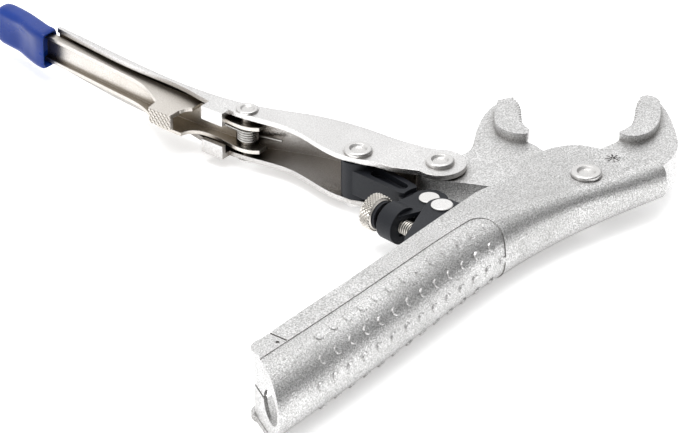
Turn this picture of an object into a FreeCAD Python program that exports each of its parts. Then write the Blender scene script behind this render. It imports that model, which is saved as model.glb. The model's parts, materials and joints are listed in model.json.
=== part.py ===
import FreeCAD, Part
import math
import os

os.makedirs("parts", exist_ok=True)
V = FreeCAD.Vector
UP = V(0, 0, 1)

# Working frame while drawing, in mm: the jaw pivot is the origin, +X runs along the
# fixed handle towards the jaws, +Y points to the lever side, +Z is across the tool.
# Everything is moved by ORIGIN at the end, so the bottom centre of the tool is 0, 0, 0.
ORIGIN = V(62.8, -122.95, 14.25)

RUN = 0.05            # radial running clearance of a pin in its bore
GAP = 0.4             # side gap between moving plates
SHEET = 2.0           # handle and lever sheet thickness
END_WALL = 2.1        # how far the rear walls reach in from the cut end
END_HOLE_R = 6.2

# pivots in the open rest pose
PJ = V(0, 0, 0)
PL = V(-26.9, 48.1, 0)
PK = V(-41.2, 75.9, 0)
PR = V(-42.5, 129.0, 0)
PN = V(-46.4, 37.9, 0)
PS = V(-50.9, 28.5, 0)

# fixed handle
GRIP_HALF = 14.0      # half width over the grip
HEAD_HALF = 9.0       # half width over the jaw plates
GRIP_REAR = -181.0    # rear end at the inner edge
REAR_SLANT = 0.55     # how far the back runs on per mm of depth
HEAD_R = 24.2         # rounded head over the jaw pivot
HEAD_FRONT = 25.5
EDGE_REAR = 13.8      # inner edge height at the rear
EDGE_MID = 20.2       # inner edge height ahead of the grip
PANEL_STEP = 0.3      # depth of the grip panel below the smooth strip
PANEL_FRONT = -54.0

# jaws
PLATE_HALF = 6.0
PAD_HALF = 9.8
HUB_R = 7.6
TAIL_R = 9.0
TOOTH = 1.45          # groove depth
TOOTH_PITCH = 1.85

# main lever
LEVER_HALF = 10.0
LEVER_HEAD_HALF = 8.8
LEVER_TIP_HALF = 8.3
LEVER_END = 232.5
LEVER_HEAD_R = 10.0

# release lever and sleeve
REL_HALF = 5.7
REL_SHEET = 1.5
SLEEVE_START = 233.6
SLEEVE_END = 265.0

# rivets
RIVET_R = 5.4
RIVET_RIM = 1.6
SHANK_R = 4.0
SMALL_RIVET_R = 4.2
SMALL_SHANK_R = 2.6
PIN_R = 2.6
PIN_HEAD_R = 4.2

# slide, carrier and screw
CHEEK_IN = 3.4
CHEEK_OUT = 5.4
SLIDE_IN = 5.8
SLIDE_OUT = 7.8
LOOP_CLEAR = 3.2      # free play where the closed linkage is opened
KNUCKLE_R = 1.8
TONGUE_R = 6.1
FORK_R = 7.0
SCREW_ANGLE = -96.3
SCREW_HEAD = V(-58.9, 55.6, 0)
SCREW_R = 3.0
SCREW_PITCH = 1.0
SCREW_HEAD_R = 7.0
SCREW_HEAD_L = 5.6
BOSS_R = 7.3


def cyl(centre, r, z0, z1):
    return Part.makeCylinder(r, z1 - z0, V(centre.x, centre.y, z0), UP)


def box(x0, y0, z0, x1, y1, z1):
    return Part.makeBox(x1 - x0, y1 - y0, z1 - z0, V(x0, y0, z0))


def prism(points, z0, z1):
    flat = [V(p[0], p[1], z0) for p in points]
    face = Part.Face(Part.makePolygon(flat + [flat[0]]))
    return face.extrude(V(0, 0, z1 - z0))


def side_prism(points, x0, x1):
    """Prism along X; points are (y, z)."""
    flat = [V(x0, p[0], p[1]) for p in points]
    face = Part.Face(Part.makePolygon(flat + [flat[0]]))
    return face.extrude(V(x1 - x0, 0, 0))


def curve(points, z):
    pts = [V(p[0], p[1], z) for p in points]
    if len(pts) == 2:
        return Part.makeLine(pts[0], pts[1])
    line = Part.BSplineCurve()
    line.interpolate(pts)
    return line.toShape()


def outline(sides, z0, z1):
    """Prism bounded by smooth sides that meet end to end."""
    edges = []
    for side in sides:
        edges.append(curve(side, z0))
    face = Part.Face(Part.Wire(Part.__sortEdges__(edges)))
    return face.extrude(V(0, 0, z1 - z0))


def capsule(a, b, ra, rb, z0, z1):
    """Two discs joined by their outer tangents."""
    d = b - a
    length = math.hypot(d.x, d.y)
    base = math.atan2(d.y, d.x)
    lean = math.acos((ra - rb) / length)
    pts = []
    for centre, r, t in ((a, ra, lean), (b, rb, lean), (b, rb, -lean), (a, ra, -lean)):
        pts.append((centre.x + r * math.cos(base + t), centre.y + r * math.sin(base + t)))
    body = prism(pts, z0, z1)
    return body.fuse([cyl(a, ra, z0, z1), cyl(b, rb, z0, z1)]).removeSplitter()


def rivet(centre, wall, head_r, shank_r, rim, dish):
    """Rivet through two walls, with a raised rim and a dished middle at both ends."""
    body = cyl(centre, shank_r, -wall, wall)
    for sign in (1, -1):
        z0 = wall if sign > 0 else -wall - rim
        head = cyl(centre, head_r, z0, z0 + rim)
        rounds = [e for e in head.Edges if abs(e.BoundBox.ZMax - e.BoundBox.ZMin) < 1e-6]
        outer = [e for e in rounds if abs(abs(e.BoundBox.ZMax) - wall - rim) < 1e-6]
        head = head.makeFillet(rim * 0.55, outer)
        deep = rim * 0.6
        floor = V(centre.x, centre.y, sign * (wall + rim - deep))
        hollow = Part.makeCone(dish * 0.78, dish * 1.02, deep + 0.02, floor, V(0, 0, sign))
        body = body.fuse(head.cut(hollow))
    return body.removeSplitter()


def flat_pin(centre, wall, head_r, shank_r, rim):
    body = cyl(centre, shank_r, -wall, wall)
    for sign in (1, -1):
        z0 = wall if sign > 0 else -wall - rim
        head = cyl(centre, head_r, z0, z0 + rim)
        outer = [e for e in head.Edges if abs(abs(e.BoundBox.ZMax) - wall - rim) < 1e-6
                 and abs(e.BoundBox.ZMax - e.BoundBox.ZMin) < 1e-6]
        body = body.fuse(head.makeChamfer(0.3, outer))
    return body.removeSplitter()


def helix_wire(centre, axis, r, pitch, turns, wire_r):
    """Round wire wound about an axis that starts at centre."""
    spine = Part.makeHelix(pitch, pitch * turns, r)
    ring = Part.Wire(Part.makeCircle(wire_r, V(r, 0, 0), V(0, 1, pitch / (2 * math.pi * r))))
    coil = Part.Wire(spine.Edges).makePipeShell([ring], True, True)
    turn = FreeCAD.Rotation(UP, axis)
    coil.Placement = FreeCAD.Placement(centre, turn)
    return coil


# ---- fixed handle ---------------------------------------------------------------

# section stations along the handle: place, half width, back line, back corner radius
HANDLE_STATIONS = (
    (-205.0, GRIP_HALF, -12.6, GRIP_HALF - 0.6),
    (-165.0, GRIP_HALF, -10.8, GRIP_HALF - 0.6),
    (-115.0, GRIP_HALF, -8.2, GRIP_HALF - 0.6),
    (-62.0, GRIP_HALF - 0.3, -4.9, GRIP_HALF - 1.4),
    (-30.0, 11.0, -5.9, 8.2),
    (-6.0, HEAD_HALF, -10.5, 6.6),
    (45.0, HEAD_HALF, -22.0, 6.6),
)


def handle_section(x, half, back, corner, inset):
    h = half - inset
    r = corner - inset
    y0 = back + inset
    k = r * math.sqrt(0.5)
    top = 60.0
    a = V(x, top, h)
    b = V(x, y0 + r, h)
    c = V(x, y0, h - r)
    d = V(x, y0, r - h)
    e = V(x, y0 + r, -h)
    f = V(x, top, -h)
    m1 = V(x, y0 + r - k, h - r + k)
    m2 = V(x, y0 + r - k, r - h - k)
    edges = [Part.makeLine(a, b), Part.Arc(b, m1, c).toShape(), Part.makeLine(c, d),
             Part.Arc(d, m2, e).toShape(), Part.makeLine(e, f), Part.makeLine(f, a)]
    return Part.Wire(edges)


def handle_solid(inset):
    wires = [handle_section(x, h, y, r, inset) for x, h, y, r in HANDLE_STATIONS]
    return Part.makeLoft(wires, True, False)


def handle_plan(grow=0.0):
    """Side view outline of the sheet; the rear is cut at a slant."""
    rear = GRIP_REAR
    low = -40.0
    slant = rear + (low - EDGE_REAR) * REAR_SLANT
    back = [(slant, low), (rear, EDGE_REAR - 5.0)]
    corner = [back[1], (rear + 1.2, EDGE_REAR - 1.4), (rear + 9.0, EDGE_REAR + 0.2)]
    edge = [corner[-1], (-115.0, 15.8), (-62.0, 18.2), (-44.0, EDGE_MID)]
    dip = [edge[-1], (-31.0, 20.0), (-21.0, 19.2), (-10.0, 21.4)]
    head = [dip[-1], (3.0, HEAD_R), (13.5, 20.6), (20.0, 10.0)]
    front = [head[-1], (23.4, -1.0), (HEAD_FRONT, -9.0), (HEAD_FRONT + 1.2, -14.6)]
    toe = [front[-1], (HEAD_FRONT + 0.6, -17.6), (HEAD_FRONT - 3.5, -22.5)]
    base = [toe[-1], (HEAD_FRONT - 3.5, low)]
    sides = [back, corner, edge, dip, head, front, toe, base, [base[-1], back[0]]]
    return outline(sides, -30, 30)


def handle_ends():
    """Rear walls turned in from both sides, meeting round an opening."""
    low = -40.0
    top = EDGE_REAR - 2.4
    x_low = GRIP_REAR + (low - EDGE_REAR) * REAR_SLANT
    run = (GRIP_REAR - x_low) / (EDGE_REAR - 5.0 - low)
    x_top = x_low + (top - low) * run
    wall = prism([(x_low + 0.3, low), (x_top + 0.3, top), (x_top + END_WALL, top),
                  (x_low + END_WALL, low)], -30, 30)
    wall = wall.common(handle_solid(SHEET * 0.5))
    wall = wall.cut(box(-230, -40, -0.5, -150, 20, 0.5))
    opening = Part.makeCylinder(END_HOLE_R, 80, V(-230, -3.4, 0), V(1, 0, 0))
    return wall.cut(opening)


def grip_panel_cut():
    skin = handle_solid(-2.0).cut(handle_solid(PANEL_STEP))
    y_rear = EDGE_REAR - 8.2
    front = PANEL_FRONT
    side = [(GRIP_REAR - 60.0, y_rear - 1.0), (GRIP_REAR, y_rear), (front - 8.0, 8.4)]
    nose = [side[-1], (front - 1.6, 5.6), (front, 0.0), (front - 3.0, -7.0), (front - 9.0, -20.0)]
    base = [nose[-1], (GRIP_REAR - 60.0, -40.0), side[0]]
    region = outline([side, nose, base[:2], base[1:]], -30, 30)
    return skin.common(region)


def fixed_handle():
    outer = handle_solid(0.0)
    shell = outer.cut(handle_solid(SHEET)).common(handle_plan())
    shell = shell.cut(grip_panel_cut())
    shell = shell.fuse(handle_ends())
    shell = shell.cut(cyl(PJ, SHANK_R + 0.02, -30, 30))
    for x, y in JAW_STAKES:
        shell = shell.cut(cyl(V(x, y, 0), STAKE_R + 0.02, -30, 30))
    shell = shell.cut(box(GRIP_REAR + 13.0, 6.2, GRIP_HALF - 0.5, GRIP_REAR + 13.8, 15.0, 20))
    shell = shell.cut(cyl(V(GRIP_REAR + 10.5, 8.0, 0), 0.7, GRIP_HALF - 0.6, 20))
    return shell


JAW_STAKES = ((17.4, 0.4),)
STAKE_R = 2.9
STAKE_NOTCH = 7.7     # bottom of the star pressed into a stake, from the middle


# ---- jaws -----------------------------------------------------------------------

def tooth_row(face, first, side):
    """Triangular grooves square to a hollow face, from the fraction first to its end."""
    line = Part.BSplineCurve()
    line.interpolate([V(x, y, 0) for x, y in face])
    length = line.length()
    count = int(length * 0.97 / TOOTH_PITCH)
    cuts = []
    for i in range(count):
        start = length * 0.97 - (i + 1) * TOOTH_PITCH
        a = line.value(line.parameterAtDistance(start, line.FirstParameter))
        b = line.value(line.parameterAtDistance(start + TOOTH_PITCH, line.FirstParameter))
        chord = b - a
        u = chord * (1.0 / chord.Length)
        n = V(-u.y * side, u.x * side, 0)
        deep = (a + b) * 0.5 - n * TOOTH
        out_a = a + n * 5
        out_b = b + n * 5
        pts = [a + u * 0.08, b - u * 0.08, out_b, out_a]
        if start > length * first:
            pts.insert(1, deep)
        cuts.append(prism([(p.x, p.y) for p in pts], -12, 12))
    return cuts


def fixed_jaw():
    nose = [(34.5, 9.6), (31.2, 8.6), (26.5, 9.4), (20.0, 9.8)]
    heel = [(20.0, 9.8), (15.2, 4.0), (12.0, -4.0), (13.0, -11.8)]
    back = [(13.0, -11.8), (29.5, -15.6), (41.1, -12.4), (52.5, -3.2), (64.3, 10.4), (67.6, 16.0)]
    tip = [(67.6, 16.0), (66.2, 19.6), (62.0, 19.4)]
    bite = [(62.0, 19.4), (48.0, 12.2), (34.5, 9.6)]
    plate = outline([nose, heel, back, tip, bite], -PLATE_HALF - 0.5, PLATE_HALF + 0.5)
    pad_face = [(33.4, 9.2), (40.3, 8.9), (46.7, 11.9), (54.6, 16.6), (60.4, 18.8)]
    pad_nose = [(60.4, 18.8), (63.2, 18.0), (64.0, 14.6), (62.0, 10.6)]
    pad_back = [(62.0, 10.6), (54.7, 5.2), (46.9, 1.2), (40.6, 0.2), (35.6, 1.4)]
    pad_end = [(35.6, 1.4), (33.0, 4.6), (33.4, 9.2)]
    pad = outline([pad_face, pad_nose, pad_back, pad_end], -PAD_HALF, PAD_HALF)
    body = plate.fuse(pad)
    body = body.cut(cyl(PJ, HUB_R + 1.0, -20, 20))
    body = body.cut(tooth_row(pad_face, 0.2, 1))
    covered = body.common(handle_plan())
    body = body.cut(handle_plan()).fuse(covered.common(handle_solid(SHEET + 0.02)))
    body = body.removeSplitter()
    for x, y in JAW_STAKES:
        body = body.cut(cyl(V(x, y, 0), STAKE_R + 0.02, -20, 20))
    return body


def jaw_stake_pins():
    """Pins flush with the handle, each marked with a pressed star at both ends."""
    pins = []
    room = handle_solid(-0.06)
    for x, y in JAW_STAKES:
        pin = cyl(V(x, y, 0), STAKE_R, -HEAD_HALF - 1, HEAD_HALF + 1).common(room)
        for z in (STAKE_NOTCH, -STAKE_NOTCH - 2):
            for angle in (0, 45, 90, 135):
                bar = box(-4, -0.26, z, 4, 0.26, z + 2)
                bar.rotate(V(0, 0, 0), UP, angle)
                bar.translate(V(x, y, 0))
                pin = pin.cut(bar)
        pins.append(pin)
    return Part.makeCompound(pins)


def movable_jaw():
    left = [(-35.0, 44.2), (-31.2, 38.0), (-26.6, 28.0), (-20.0, 15.0), (-8.2, -1.0)]
    right = [(8.28, 0.6), (8.6, 14.0), (9.0, 27.5), (10.4, 33.0), (9.0, 40.0), (12.0, 47.0)]
    bite = [(12.0, 47.0), (20.0, 53.0), (27.4, 58.0)]
    tip = [(27.4, 58.0), (27.6, 61.6), (23.6, 62.4)]
    crown = [(23.6, 62.4), (11.0, 58.4), (-1.6, 51.6), (-8.0, 48.4), (-15.0, 49.0), (-22.0, 55.0)]
    close = [(-22.0, 55.0), (-35.0, 44.2)]
    plate = outline([left, [left[-1], right[0]], right, bite, tip, crown, close],
                    -PLATE_HALF, PLATE_HALF)
    plate = plate.fuse([cyl(PL, TAIL_R, -PLATE_HALF, PLATE_HALF),
                        cyl(PJ, HUB_R, -PLATE_HALF, PLATE_HALF)])
    face = [(13.4, 36.8), (15.6, 41.2), (20.2, 45.4), (25.2, 49.7), (28.2, 53.5), (29.9, 57.0)]
    nose = [(29.9, 57.0), (24.2, 60.0)]
    back = [(24.2, 60.0), (19.6, 57.4), (12.3, 52.4), (8.4, 48.2), (7.0, 43.0), (8.0, 38.0)]
    end = [(8.0, 38.0), (10.4, 35.4), (13.4, 36.8)]
    pad = outline([face, nose, back, end], -PAD_HALF, PAD_HALF)
    body = plate.fuse(pad)
    body = body.cut(tooth_row(face, 0.2, -1))
    body = body.cut(cyl(PJ, SHANK_R + 0.6 + RUN, -20, 20))
    body = body.cut(cyl(PL, SHANK_R + RUN, -20, 20))
    return body.removeSplitter()


def jaw_pivot_rivet():
    body = rivet(PJ, HEAD_HALF + 0.05, RIVET_R + 0.4, SHANK_R, RIVET_RIM - 0.05, 3.6)
    return body.fuse(cyl(PJ, SHANK_R + 0.6, -PLATE_HALF - 0.03, PLATE_HALF + 0.03)).removeSplitter()


def pivot_washers():
    rings = []
    for sign in (1, -1):
        z0 = 6.06 if sign > 0 else -6.34
        ring = cyl(PJ, 5.4, z0, z0 + 0.28).cut(cyl(PJ, SHANK_R + 0.02, -20, 20))
        rings.append(ring)
    return Part.makeCompound(rings)


# ---- main lever -----------------------------------------------------------------

LEVER_WEB = ((-19.0, 56.0), (-21.4, 64.0), (-23.0, 84.0), (-27.6, 108.0), (-34.8, 127.0),
             (-38.6, 172.0), (-32.2, LEVER_END))
LEVER_OPEN = ((-35.9, LEVER_END), (-39.0, 212.0), (-42.0, 186.0), (-43.4, 160.0),
              (-46.6, 141.0), (-45.6, 124.0), (-43.4, 108.0), (-47.4, 80.0), (-42.0, 62.0),
              (-36.6, 50.4))


def lever_profile(inset, x0, x1):
    head = LEVER_HEAD_HALF - inset
    mid = LEVER_HALF - inset
    tip = LEVER_TIP_HALF - inset
    top = [(20.0, head), (60.0, head), (66.0, mid), (135.0, mid), (LEVER_END + 20.0, tip)]
    low = [(y, -z) for y, z in reversed(top)]
    return side_prism(top + low, x0, x1)


def lever_plan(web_inset):
    web = [(x - web_inset, y) for x, y in LEVER_WEB]
    if web_inset:
        web[0] = (web[0][0], 20.0)
        web[-1] = (web[-1][0], LEVER_END + 10.0)
    openside = list(LEVER_OPEN)
    if web_inset:
        openside = [(-80.0, LEVER_END + 10.0), (-80.0, 20.0)]
    sides = [web, [web[-1], openside[0]], openside, [openside[-1], web[0]]]
    return outline(sides, -20, 20)


def lever_ears():
    ears = []
    for sign in (1, -1):
        top = LEVER_HALF - 0.05
        z0 = top - SHEET if sign > 0 else -top
        flat = box(-50.0, 134.6, z0, -42.0, 145.0, z0 + SHEET)
        z2 = 4.4 if sign > 0 else -top
        turned = box(-51.2, 134.6, z2, -49.2, 145.0, z2 + top - 4.4)
        ears.append(flat.fuse(turned))
    return ears


def main_lever():
    outer = lever_plan(0.0).common(lever_profile(0.0, -80, 20))
    outer = outer.fuse(cyl(PL, LEVER_HEAD_R, -LEVER_HEAD_HALF, LEVER_HEAD_HALF)).removeSplitter()
    long_edges = []
    for e in outer.Edges:
        bb = e.BoundBox
        mid = e.valueAt((e.FirstParameter + e.LastParameter) / 2)
        web_x = -19.0 - 0.11 * (mid.y - 56.0)
        if bb.YLength > 15 and mid.x > web_x - 5 and abs(mid.z) > 5 and bb.YMin > 50:
            long_edges.append(e)
    try:
        outer = outer.makeFillet(3.2, long_edges)
    except Exception:
        pass
    body = outer.cut(lever_plan(SHEET).common(lever_profile(SHEET, -90, 20)))
    body = body.cut(cyl(PL, LEVER_HEAD_R + 4.0, -LEVER_HEAD_HALF + SHEET, LEVER_HEAD_HALF - SHEET))
    body = body.fuse(lever_ears()).removeSplitter()
    body = body.cut(cyl(PL, SHANK_R + 0.02, -20, 20))
    body = body.cut(cyl(PK, SHANK_R + 0.02, -20, 20))
    body = body.cut(cyl(PR, SMALL_SHANK_R + 0.02, -20, 20))
    return body


def lever_jaw_rivet():
    return rivet(PL, LEVER_HEAD_HALF, RIVET_R, SHANK_R, RIVET_RIM, 3.4)


def lever_link_rivet():
    return rivet(PK, LEVER_HALF, RIVET_R, SHANK_R, RIVET_RIM, 3.4)


def release_rivet():
    return rivet(PR, LEVER_HALF, SMALL_RIVET_R, SMALL_SHANK_R, 1.0, 2.8)


def lever_washers():
    rings = []
    for z0 in (6.1, -6.78):
        ring = cyl(PL, 7.6, z0, z0 + 0.68).cut(cyl(PL, SHANK_R + 0.02, -20, 20))
        rings.append(ring)
    return Part.makeCompound(rings)


# ---- toggle link ----------------------------------------------------------------

def toggle_link():
    boss = cyl(PK, 6.5, -LEVER_HALF + SHEET + GAP, LEVER_HALF - SHEET - GAP)
    along = PN - PK
    length = math.hypot(along.x, along.y)
    u = V(along.x / length, along.y / length, 0)
    waist = PK + u * (length - 12.5)
    arm = capsule(PK, waist, 6.0, 4.2, -5.0, 5.0)
    recess_a = PK + u * 11.0
    recess_b = PK + u * (length - 14.5)
    for z0 in (2.4, -6.0):
        arm = arm.cut(capsule(recess_a, recess_b, 2.9, 2.2, z0, z0 + 3.6))
    for z0 in (CHEEK_IN - GAP, -CHEEK_OUT - GAP):
        arm = arm.cut(cyl(PN, FORK_R + LOOP_CLEAR + 0.3, z0, z0 + CHEEK_OUT - CHEEK_IN + 2 * GAP))
    tongue = capsule(waist, PN, 4.0, TONGUE_R, -CHEEK_IN + GAP, CHEEK_IN - GAP)
    body = boss.fuse([arm, tongue]).removeSplitter()
    body = body.cut(cyl(PK, SHANK_R + RUN, -20, 20))
    return body.cut(cyl(PN, KNUCKLE_R + LOOP_CLEAR, -20, 20))


# ---- slide, carrier and screw ---------------------------------------------------

def slide_wedge():
    low = 4.6
    pts = [(-52.9, 34.2), (-77.0, 25.4), (-93.0, 14.0), (-93.0, low), (-45.0, low), (-45.0, 27.0)]
    body = prism(pts, -SLIDE_OUT, SLIDE_OUT)
    body = body.fuse(cyl(PS, 6.0, -SLIDE_OUT, SLIDE_OUT)).removeSplitter()
    pocket = cyl(PS, 9.6, -SLIDE_IN, SLIDE_IN)
    body = body.cut(pocket)
    body = body.cut(prism([(-60, 29), (-42, 14), (-30, 20), (-30, 60), (-60, 60)], -SLIDE_IN, SLIDE_IN))
    body = body.cut(box(-67.5, 27.2, -3.8, -54.0, 40.0, 3.8))
    pitch = 3.0
    cuts = []
    for i in range(17):
        x = -93.5 + i * pitch
        cuts.append(prism([(x, low - 0.1), (x + 0.4, low + 1.4), (x + pitch, low - 0.1)], -20, 20))
    body = body.cut(Part.makeCompound(cuts))
    body = body.cut(box(-100, 0, 5.2, -40, 10.5, 20)).cut(box(-100, 0, -20, -40, 10.5, -5.2))
    return body.cut(cyl(PS, PIN_R - 0.02, -20, 20))


def slide_pin():
    return flat_pin(PS, SLIDE_OUT, PIN_HEAD_R, PIN_R - 0.04, 0.9)


def ratchet_rack():
    pitch = 3.0
    body = box(-118.0, -0.6, -5.0, -40.0, 4.2, 5.0)
    cuts = []
    for i in range(25):
        x = -116.5 + i * pitch
        cuts.append(prism([(x, 4.3), (x + pitch - 0.4, 2.7), (x + pitch, 4.3)], -20, 20))
    body = body.cut(Part.makeCompound(cuts))
    room = handle_solid(SHEET + 0.02)
    return body.common(room)


def rack_seat():
    body = box(-118.0, -6.0, -3.0, -40.0, -0.62, 3.0)
    return body.common(handle_solid(SHEET + 0.06))


def screw_axis():
    a = math.radians(SCREW_ANGLE)
    return V(math.cos(a), math.sin(a), 0)


def along_screw(start, length, r):
    return Part.makeCylinder(r, length, SCREW_HEAD + screw_axis() * start, screw_axis())


BOSS_START = 10.0
BOSS_LEN = 7.2


def screw_carrier():
    centre = SCREW_HEAD + screw_axis() * (BOSS_START + BOSS_LEN / 2)
    cheeks = []
    for z0 in (CHEEK_IN, -CHEEK_OUT):
        z1 = z0 + CHEEK_OUT - CHEEK_IN
        head = capsule(PN, PS, FORK_R, 5.2, z0, z1)
        arm = capsule(PN, centre, 6.6, 4.6, z0, z1)
        cheeks += [head, arm]
    boss = along_screw(BOSS_START, BOSS_LEN, BOSS_R)
    block = capsule(centre, centre + V(3.4, -1.4, 0), 3.4, 3.2, -CHEEK_OUT, CHEEK_OUT)
    body = boss.fuse(cheeks + [block]).removeSplitter()
    body = body.cut(cyl(PN, TONGUE_R + LOOP_CLEAR + 0.3, -CHEEK_IN, CHEEK_IN))
    body = body.cut(along_screw(BOSS_START - 1, BOSS_LEN + 2, SCREW_R + RUN))
    body = body.cut(cyl(PN, KNUCKLE_R - 0.02, -20, 20))
    return body.cut(cyl(PS, PIN_R + RUN - 0.04, -20, 20))


def knuckle_pin():
    return flat_pin(PN, CHEEK_OUT, 4.0, KNUCKLE_R - 0.04, 0.9)


def screw_collar():
    ring = along_screw(SCREW_HEAD_L + 0.1, 1.3, 5.6)
    return ring.cut(along_screw(0, 30, SCREW_R + RUN))


def screw_spring():
    start = SCREW_HEAD + screw_axis() * (SCREW_HEAD_L + 1.9)
    rings = []
    for k in range(2):
        ring = Part.makeTorus(4.3, 0.45, start + screw_axis() * (1.05 * k), screw_axis())
        rings.append(ring)
    return Part.makeCompound(rings)


def adjusting_screw():
    head = along_screw(0.0, SCREW_HEAD_L, SCREW_HEAD_R)
    rim = [e for e in head.Edges if e.Closed]
    head = head.makeChamfer(0.7, rim)
    length = 23.2
    core = along_screw(0.5, length - 0.5, SCREW_R - 0.55)
    body = head.fuse(core)
    collar_part = along_screw(0.5, BOSS_START + BOSS_LEN - 0.5, SCREW_R - 0.02)
    body = body.fuse(collar_part)
    start = BOSS_START + BOSS_LEN + 0.1
    turns = int((length - start - 0.5) / SCREW_PITCH)
    ridges = []
    for k in range(turns):
        s = start + k * SCREW_PITCH
        base = SCREW_HEAD + screw_axis() * s
        cone = Part.makeCone(SCREW_R - 0.55, SCREW_R - 0.02, 0.5, base, screw_axis())
        back = Part.makeCone(SCREW_R - 0.02, SCREW_R - 0.55, 0.5,
                             base + screw_axis() * 0.5, screw_axis())
        ridges += [cone, back]
    body = body.fuse(ridges)
    slot = along_screw(length - 0.01, 0.2, 1.0)
    return body.cut(slot).removeSplitter()


# ---- release lever --------------------------------------------------------------

REL_WEB = ((-40.6, 123.0), (-41.0, 140.0), (-41.9, 165.0), (-39.7, 200.0), (-36.6, 232.0),
           (-31.8, 258.0))
REL_OPEN = ((-36.4, 260.0), (-39.8, 233.0), (-42.2, 210.0), (-44.2, 192.0), (-46.4, 179.0),
            (-50.4, 170.6), (-53.0, 166.0))


def rel_profile(inset):
    h = REL_HALF - inset
    return box(-90, 100, -h, 10, 300, h)


def release_lever():
    low_side = [(-53.0, 166.0), (-53.0, 154.0), (-49.0, 152.0), (-46.6, 140.0), (-47.4, 126.0),
                (-44.8, 121.4)]
    base = [(-44.8, 121.4), (-40.4, 121.4), (-40.6, 123.0)]
    sides = [list(REL_WEB), [REL_WEB[-1], REL_OPEN[0]], list(REL_OPEN), low_side[:2],
             low_side[1:], base[:2], base[1:]]
    outer = outline(sides, -REL_HALF, REL_HALF)
    web_in = [(x - REL_SHEET, y) for x, y in REL_WEB]
    web_in[0] = (web_in[0][0], 100.0)
    web_in[-1] = (web_in[-1][0] - 0.3, 262.0)
    hollow = outline([web_in, [web_in[-1], (-90.0, 262.0)], [(-90.0, 262.0), (-90.0, 100.0)],
                      [(-90.0, 100.0), web_in[0]]], -REL_HALF + REL_SHEET, REL_HALF - REL_SHEET)
    body = outer.cut(hollow)
    window = box(-60.0, 141.0, REL_HALF - 2.6, -43.6, 151.6, 12)
    body = body.cut(window)
    z1 = REL_HALF
    tab = prism([(-53.0, 166.0), (-53.0, 154.2), (-57.4, 154.2), (-57.4, 165.2)], z1 - 1.8, z1)
    lip = prism([(-57.0, 165.3), (-57.0, 154.2), (-59.0, 154.2), (-59.0, 165.0)], z1 - 6.4, z1)
    grooves = []
    for angle in (-40, 40):
        for k in range(-7, 8):
            groove = box(-59.6, 1.5 * k - 0.25, -12.0, -58.7, 1.5 * k + 0.25, 12.0)
            groove.rotate(V(-59.0, 0, 0), V(1, 0, 0), angle)
            groove.translate(V(0, 159.6, z1 - 3.2))
            grooves.append(groove)
    lip = lip.cut(Part.makeCompound(grooves))
    body = body.fuse([tab, lip]).removeSplitter()
    inner = REL_HALF - REL_SHEET
    body = body.fuse([cyl(PR, 4.4, inner, REL_HALF), cyl(PR, 4.4, -REL_HALF, -inner)])
    body = body.cut(box(-60.0, 110.0, -inner, -20.0, 135.0, inner)).removeSplitter()
    return body.cut(cyl(PR, SMALL_SHANK_R + RUN, -20, 20))


def sleeve_ring(y, cx, w, h, r, lean=0.0):
    x0 = cx - w / 2
    x1 = cx + w / 2
    pts = [V(x0 + r, y, h), V(x1 - r, y, h), V(x1, y, h - r), V(x1, y, -h + r),
           V(x1 - r, y, -h), V(x0 + r, y, -h), V(x0, y, -h + r), V(x0, y, h - r)]
    k = r * (1 - math.sqrt(0.5))
    mids = [V(x1 - k, y, h - k), V(x1 - k, y, -h + k), V(x0 + k, y, -h + k), V(x0 + k, y, h - k)]
    edges = [Part.makeLine(pts[0], pts[1]), Part.Arc(pts[1], mids[0], pts[2]).toShape(),
             Part.makeLine(pts[2], pts[3]), Part.Arc(pts[3], mids[1], pts[4]).toShape(),
             Part.makeLine(pts[4], pts[5]), Part.Arc(pts[5], mids[2], pts[6]).toShape(),
             Part.makeLine(pts[6], pts[7]), Part.Arc(pts[7], mids[3], pts[0]).toShape()]
    return Part.Wire(edges)


def grip_sleeve():
    rings = [
        sleeve_ring(SLEEVE_START, -39.3, 8.4, 7.6, 1.8),
        sleeve_ring(238.0, -38.8, 9.0, 7.8, 2.0),
        sleeve_ring(244.0, -37.1, 9.4, 7.8, 2.4),
        sleeve_ring(251.0, -35.0, 9.2, 7.8, 3.0),
        sleeve_ring(258.0, -34.0, 9.4, 8.0, 3.4),
        sleeve_ring(262.8, -33.6, 9.0, 8.0, 4.0),
        sleeve_ring(SLEEVE_END, -33.4, 6.4, 5.8, 2.9),
    ]
    body = Part.makeLoft(rings, True, False)
    room = box(-80, 100, -REL_HALF - 0.04, 20, 262, REL_HALF + 0.04)
    web = [(x + 0.04, y) for x, y in REL_WEB]
    openside = [(x - 0.04, y) for x, y in REL_OPEN]
    mouth = outline([web, [web[-1], openside[0]], openside, [openside[-1], web[0]]],
                    -REL_HALF - 0.04, REL_HALF + 0.04)
    return body.cut(mouth.common(room))


def release_spring():
    coil = []
    for k in range(5):
        coil.append(Part.makeTorus(3.7, 0.5, V(PR.x, PR.y, -2.2 + 1.1 * k), UP))
    leg = Part.makeCylinder(0.5, 11.0, V(PR.x - 3.7, PR.y, 2.2), V(0.06, 1, 0))
    leg2 = Part.makeCylinder(0.5, 12.0, V(PR.x + 3.7, PR.y, -2.2), V(0.24, -1, 0))
    body = coil[0]
    for c in coil[1:] + [leg, leg2]:
        body = body.fuse(c)
    return body


# ---- springs in the handle ------------------------------------------------------

def slide_spring():
    return helix_wire(V(-94.0, 9.4, 0), V(-1, -0.02, 0), 3.2, 2.6, 22, 0.45)


def spring_anchor():
    half = GRIP_HALF - SHEET - 0.15
    return cyl(V(-154.0, 6.6, 0), 1.6, -half, half)


def jaw_spring():
    return helix_wire(V(-31.5, 24.0, 0), V(-0.93, -0.36, 0), 2.2, 1.3, 7, 0.4)


# ---- export ---------------------------------------------------------------------

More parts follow.
